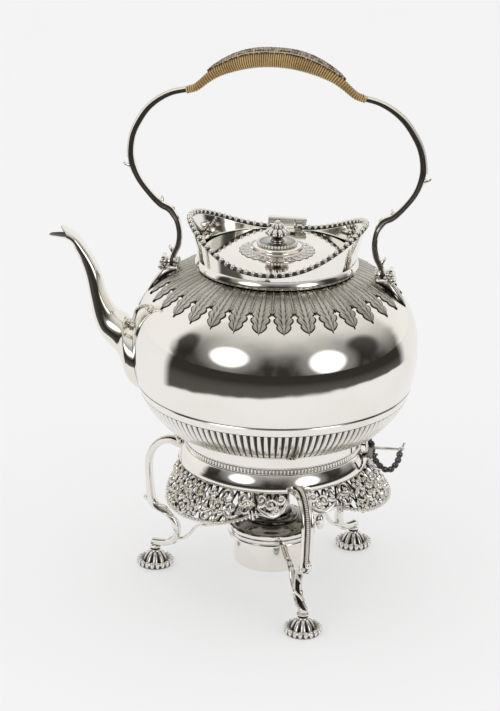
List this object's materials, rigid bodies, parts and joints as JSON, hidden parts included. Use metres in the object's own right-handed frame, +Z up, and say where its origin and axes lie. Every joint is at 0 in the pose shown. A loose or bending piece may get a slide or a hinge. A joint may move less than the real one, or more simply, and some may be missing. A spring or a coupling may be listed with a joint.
{
  "type": "spirit kettle on stand",
  "caption": "Silver-plated spirit kettle with a hinged lid, swan-neck spout and cane-wound swing handle, tipping on a three-legged stand with a pierced apron and a spirit lamp.",
  "frame": {"origin": "centre of the bounding box's footprint, on the surface that the pads stand on", "axes": "+Z up, -X towards the spout's tip, -Y towards the front, away from the lid's hinge"},
  "size_m": [0.2499, 0.1898, 0.3749],
  "materials": {
    "silver": "polished silver plate, slightly tarnished in its recesses",
    "dark_silver": "tarnished silver plate",
    "brass": "worn brass",
    "cane": "varnished split cane",
    "dark_cane": "dark woven cane",
    "cotton": "woven cotton"
  },
  "bodies": {
    "stand": {"stand_ring": "silver", "milled_band": "silver", "leg_spout": "silver", "leg_front": "silver", "leg_back": "silver", "brace_spout": "silver", "brace_front": "silver", "brace_back": "silver", "pad_spout": "silver", "pad_front": "silver", "pad_back": "silver", "apron_panel_1": "silver", "apron_panel_2": "silver", "apron_panel_3": "silver", "lamp_ring": "silver", "tilt_ear_front": "silver", "tilt_ear_back": "silver", "tilt_pin": "brass", "lock_ear": "silver", "chain_link_1": "silver", "chain_link_2": "silver", "chain_link_3": "silver", "chain_link_4": "silver", "chain_link_5": "silver", "chain_link_6": "silver", "chain_link_7": "silver"},
    "kettle": {"kettle_body": "silver", "foot_band": "silver", "neck_ring": "silver", "gallery": "silver", "gallery_beads": "silver", "spout": "silver", "spout_scroll_front": "silver", "spout_scroll_back": "silver", "lid_hinge_pin": "brass", "gallery_knuckle_left": "silver", "gallery_knuckle_right": "silver", "handle_bracket_left": "silver", "handle_bracket_right": "silver", "handle_pin_left": "brass", "handle_pin_right": "brass", "tilt_tab": "silver", "lock_tab": "silver"},
    "lid": {"lid_plate": "silver", "lid_drum": "silver", "lid_disc": "silver", "finial": "silver", "lid_hinge_leaf": "silver"},
    "handle": {"handle_arm_left": "silver", "handle_arm_right": "silver", "grip_core": "silver", "grip_winding": "cane", "grip_strip": "dark_cane"},
    "lock_pin": {"lock_pin": "silver"},
    "lamp": {"lamp_reservoir": "silver", "lamp_flange": "silver", "lamp_cover": "dark_silver", "burner_tube": "brass", "wick": "cotton", "lamp_thumb_piece": "silver"}
  },
  "joints": [
    {"name": "kettle_tilt", "type": "hinge", "parent": "stand", "child": "kettle", "pos_m": [-0.035, 0, 0.1034], "axis": [0, -1, 0], "range_deg": [0, 45]},
    {"name": "lid_hinge", "type": "hinge", "parent": "kettle", "child": "lid", "pos_m": [0.0287, 0.0515, 0.24383], "axis": [-1, 0, 0], "range_deg": [0, 100]},
    {"name": "handle_swing", "type": "hinge", "parent": "kettle", "child": "handle", "pos_m": [0.0287, 0, 0.22658], "axis": [1, 0, 0], "range_deg": [0, 75]},
    {"name": "lock_pin_slide", "type": "slide", "parent": "stand", "child": "lock_pin", "axis": [1, 0, 0], "range_m": [0, 0.012]},
    {"name": "lamp_lift", "type": "slide", "parent": "stand", "child": "lamp", "axis": [0, 0, 1], "range_m": [0, 0.03]}
  ]
}
